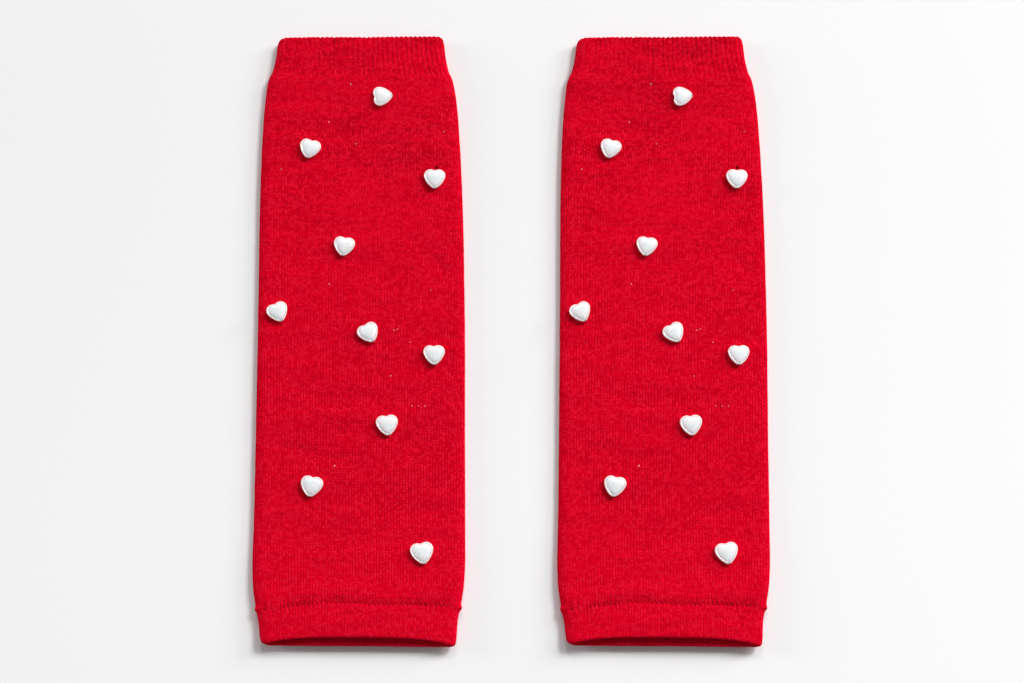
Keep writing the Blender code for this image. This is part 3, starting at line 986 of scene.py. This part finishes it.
DEEP_RED = (0.48, 0.0, 0.007, 1.0)
FULL_RED = (0.74, 0.0, 0.015, 1.0)
LIT_RED = (0.84, 0.0105, 0.038, 1.0)
INSIDE_LIGHT_RED = (0.90, 0.004, 0.038, 1.0)
HOLE_SHADE_RED = (0.13, 0.0005, 0.002, 1.0)
SHEEN_RED = (1.0, 0.005, 0.05, 1.0)
THREAD_RED = (0.58, 0.003, 0.018)
FIBRE_RED = (0.70, 0.010, 0.035)
LINT_PINK = (0.95, 0.55, 0.55)
PEARL_GREEN = (0.80, 0.82, 0.84, 1.0)
PEARL_LILAC = (0.86, 0.84, 0.87, 1.0)
PEARL_WARM = (0.88, 0.83, 0.82, 1.0)
PEARL_RED_REFLECTION = (0.99, 0.76, 0.75, 1.0)
PEARL_GROOVE_SHADE = (0.60, 0.60, 0.62, 1.0)
PAPER_NEAR = ((0.846, 0.846, 0.854, 1.0), (0.867, 0.867, 0.869, 1.0))
PAPER_FAR_SHADE = ((0.793, 0.793, 0.799, 1.0), (0.812, 0.812, 0.814, 1.0))
# where along the pair, in metres, the paper turns greyer with painted shade, the yarn's cloudy tone sets in,
# and painted light makes the knit lighter towards the mouths
PAPER_SHADE_TURN = (-0.2, 0.2)
CLOUDY_FROM = (0.02, 0.09)
PAINTED_LIGHT_FROM = (-0.07, -0.13)
KNIT_BUMP = 0.26
FUZZ_BUMP = 0.18


def knit_finish(name, stitches, yarn, uneven):
    """Red cotton knit, matt and slightly fuzzy, with painted shade in the gaps between stitches, painted
    glints on them, painted light inside and towards the mouths, and a spot of painted shade in a pulled
    stitch.
    """
    material, tree, shader, place = new_finish(name, FULL_RED[:3])
    knit = {"Knit": tree.node("UVMap", uv_map="knit").outputs["UV"], "Uneven": uneven}
    stitch = tree.node("Group", knit, node_tree=stitches).outputs
    dyed = tree.node("Group", {"Place": place}, node_tree=yarn).outputs

    # the cloudy tone is strongest towards the welts, and painted light makes the knit lighter towards the
    # mouths
    along = tree.split(place)["Y"]
    wisp = tree.weighed((tree.maths("SUBTRACT", dyed["Cloud"], 0.55), 0.8),
                        (tree.maths("SUBTRACT", dyed["Streak"], 0.53), 0.6))
    cloud = tree.maths("MULTIPLY", wisp, tree.ramp(along, *CLOUDY_FROM))
    # painted shade: the tone falls towards deep red in the gaps between the stitches' legs
    tone = tree.weighed((dyed["Cloud"], 0.42), (dyed["Streak"], 0.52), (dyed["Column"], 0.75),
                        (cloud, 1.0), (tree.ramp(along, *PAINTED_LIGHT_FROM), 0.14), (dyed["Fuzz"], 0.62),
                        (stitch["Stitch"], 0.36), (stitch["GapShade"], -0.50))
    # painted glints: pale specks on the stitches where fibres would catch the light, with painted shade in
    # the gaps
    fine = tree.weighed((dyed["Column"], 0.50), (dyed["Fuzz"], 0.80), (stitch["Stitch"], 0.45),
                        (stitch["GapShade"], -0.42))
    colour = tree.blend(tree.ramp(tone, 0.56, 1.26), DEEP_RED, FULL_RED)
    colour = tree.blend(tree.ramp(fine, 0.50, 1.25), colour, LIT_RED)
    # painted light: the inner face near a band's edge takes a lighter red, setting how bright the shaded
    # inside of a mouth looks
    colour = tree.blend(tree.mark("inside"), colour, INSIDE_LIGHT_RED)
    # painted shade: a dark spot for the shade inside the stitch that a bead's thread pulled open
    for laid in PLACES:
        ends = {0: place, 1: placed(panel_point(*PULLED), laid) * MM}
        away = tree.node("VectorMath", ends, operation="DISTANCE").outputs["Value"]
        hole = tree.ramp(away, PULLED_RADIUS * MM, PULLED_CORE * PULLED_RADIUS * MM)
        colour = tree.blend(hole, colour, HOLE_SHADE_RED)
    normal = tree.bump(stitch["Height"], KNIT_BUMP)
    tree.feed(shader, {
        "Base Color": colour,
        "Roughness": tree.maths("SUBTRACT", 0.95, tree.maths("MULTIPLY", dyed["Streak"], 0.15)),
        "Specular IOR Level": 0.0,
        "Sheen Weight": 0.30,
        "Sheen Roughness": 0.4,
        "Sheen Tint": SHEEN_RED,
        "Normal": tree.bump(dyed["Fuzz"], FUZZ_BUMP, 0.8, normal),
    })
    return material


def thread_finish(name, colour, twist_depth):
    """Spun thread or loose fibre, with an uneven tone and a twist."""
    material, tree, shader, place = new_finish(name, colour)
    tone = tree.noise(place, 900.0)
    dark, light = (tuple(channel * share for channel in colour) + (1.0,) for share in (0.7, 1.15))
    tree.feed(shader, {
        "Base Color": tree.blend(tone, dark, light),
        "Roughness": tree.maths("ADD", 0.75, tree.maths("MULTIPLY", tone, 0.2)),
        "Specular IOR Level": 0.03,
        "Normal": tree.bump(tree.noise(place, 3500.0, 1.0), twist_depth),
    })
    return material


def pearl_finish():
    """Pearl-coated plastic: white, softly clouded with faint pink and green, under a clear gloss, with a
    painted pinkish reflection of the red knit on its edge and painted shade in the groove round its dome.
    """
    material, tree, shader, place = new_finish("pearl_coat", (0.88, 0.87, 0.88))
    cloud = tree.noise(place, 260.0)
    warm = tree.noise(place, 190.0, 1.0, stretch=(1.0, 1.6, 1.0))
    coat = tree.blend(tree.ramp(cloud, 0.35, 0.65), PEARL_GREEN, PEARL_LILAC)
    coat = tree.blend(tree.ramp(warm, 0.5, 0.75), coat, PEARL_WARM)
    # painted reflection: the side and rim take a pinkish white, as the red knit would reflect on them
    coat = tree.blend(tree.mark("edge"), coat, PEARL_RED_REFLECTION)
    tree.feed(shader, {
        # painted shade: greyer along the groove round the dome
        "Base Color": tree.blend(tree.maths("MULTIPLY", tree.mark("line"), 0.5), coat, PEARL_GROOVE_SHADE),
        "Subsurface Weight": 0.9,
        "Subsurface Radius": (1.0, 0.7, 0.7),
        "Subsurface Scale": 5.0 * MM,
        "Roughness": tree.maths("ADD", 0.28, tree.maths("MULTIPLY", cloud, 0.12)),
        "Coat Weight": 0.45,
        "Coat Roughness": 0.12,
        "Normal": tree.bump(tree.noise(place, 700.0, 1.0), 0.01),
    })
    return material


def floor_finish():
    """Plain pale paper, with painted shade making it a little greyer towards the far side."""
    material, tree, shader, place = new_finish("pale_paper", (0.9, 0.9, 0.9))
    tone = tree.noise(place, 900.0)
    near, far = tree.blend(tone, *PAPER_NEAR), tree.blend(tone, *PAPER_FAR_SHADE)
    # painted shade: the paper turns greyer towards the far side
    beyond = tree.ramp(tree.split(place)["Y"], *PAPER_SHADE_TURN)
    tree.feed(shader, {"Base Color": tree.blend(beyond, near, far), "Roughness": 0.9,
                       "Specular IOR Level": 0.1})
    return material


# ---- the pair ----
def leg_warmer(place, finishes):
    """The cloth, seam, beads, threads and fibres of one leg warmer."""
    side = place.side
    bands = {"tube": None, "welt": WELT, "hem": HEM}
    lines = {"tube": tube_rows(), "welt": band_rows(WELT), "hem": band_rows(HEM)}
    cloth, laid = {}, {}
    for part, rows in lines.items():
        band = bands[part]
        points = lay_rows(rows, BAND_AROUND if band else TUBE_AROUND, band)
        relief = band_relief(points, rows, band) if band else tube_relief(points, rows)
        laid[part] = set_down(raised(points, rows, relief), place)
        name = f"{side}_{part}_knit"
        cloth[part] = cloth_piece(name, laid[part], rows, band, finishes["rib" if band else "knit"])
        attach(cloth[part], "root")
        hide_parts(f"{side}_{part}")

    for number, bead in enumerate(BEADS, start=1):
        piece = heart_bead(f"{side}_pearl_{number:02d}", place, bead, finishes["pearl"])
        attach(piece, "root")
        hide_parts(f"{side}_heart_{number:02d}")

    trims = {
        "seam_thread": (seam_strand(place), SEAM_THREAD, "thread", 1),
        "bead_threads": (bead_threads(place), THREAD_RADIUS, "thread", 1),
        "lint": (fleck_strands(place), FLECK_RADIUS, "lint", 0),
        "fibres": (fibre_strands(laid, lines), FIBRE_RADIUS, "fibre", 0),
    }
    for name, (strands, radius, finish, roundness) in trims.items():
        piece = strand_piece(f"{side}_{name}", strands, radius, finishes[finish], roundness)
        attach(piece, "root")


# ---- the stage ----
AIM = Vector((0.0003, -0.00622, 0.0))
CAMERA_DISTANCE = 0.854
CAMERA_ELEVATION = radians(75.0)
CAMERA_LENS = 62.93
CAMERA_SENSOR = 36.0
FLOOR_HALF = 3.0
FLOOR_DROP = 0.0002

# large soft lights round the pair: their height and heading in degrees, distance and power
Light = namedtuple("Light", "name elevation azimuth distance power")
LIGHTS = tuple(Light(*row) for row in (
    ("key", 37.0, 45.0, 8.0, 545.0),
    ("back", 40.0, 90.0, 8.0, 150.0),
    ("low_right", 19.0, 28.0, 2.8, 41.0),
    ("low_left", 12.0, 167.0, 8.0, 225.0),
    ("front", 35.0, 270.0, 8.0, 20.0),
))
LIGHT_SPREAD = 0.34
ROOM_LIGHT = (0.205, 0.204, 0.205)


def camera():
    """The camera, nearly overhead and a little towards the mouths."""
    data = bpy.data.cameras.new("camera")
    data.lens = CAMERA_LENS
    data.sensor_width = CAMERA_SENSOR
    data.clip_start = 0.01
    eye = link("camera", data)
    back = Vector((0.0, -cos(CAMERA_ELEVATION), sin(CAMERA_ELEVATION)))
    eye.location = AIM + back * CAMERA_DISTANCE
    eye.rotation_euler = (pi / 2.0 - CAMERA_ELEVATION, 0.0, 0.0)
    bpy.context.scene.camera = eye


def lights():
    """A pale room and large soft lights, the strongest of them from the upper right."""
    world = bpy.data.worlds.new("room")
    world.use_nodes = True
    world.node_tree.nodes["Background"].inputs["Color"].default_value = (*ROOM_LIGHT, 1.0)
    bpy.context.scene.world = world
    for light in LIGHTS:
        data = bpy.data.lights.new(light.name, "AREA")
        data.shape = "DISK"
        data.size = LIGHT_SPREAD * light.distance
        data.energy = light.power
        lamp = link(light.name, data)
        high, turn = radians(light.elevation), radians(light.azimuth)
        flat = cos(high)
        towards = Vector((flat * cos(turn), flat * sin(turn), sin(high)))
        lamp.location = AIM + towards * light.distance
        lamp.rotation_euler = towards.to_track_quat("Z", "Y").to_euler()


def floor_piece():
    """A wide plain floor just under the pair."""
    sheet = bmesh.new()
    bmesh.ops.create_grid(sheet, x_segments=1, y_segments=1, size=FLOOR_HALF)
    bmesh.ops.translate(sheet, verts=sheet.verts, vec=(0.0, 0.0, -FLOOR_DROP))
    floor = show("floor", sheet, floor_finish())
    return floor


def main():
    bpy.context.scene.view_settings.view_transform = "Standard"
    camera()
    lights()
    floor = floor_piece()
    stitches, yarn = stitch_group(), yarn_group()
    finishes = {
        "knit": knit_finish("red_knit", stitches, yarn, 0.35),
        "rib": knit_finish("red_rib", stitches, yarn, 0.30),
        "thread": thread_finish("red_thread", THREAD_RED, 0.05),
        "fibre": thread_finish("red_fibre", FIBRE_RED, 0.01),
        "lint": thread_finish("pale_lint", LINT_PINK, 0.02),
        "pearl": pearl_finish(),
    }
    for place in PLACES:
        leg_warmer(place, finishes)


main()
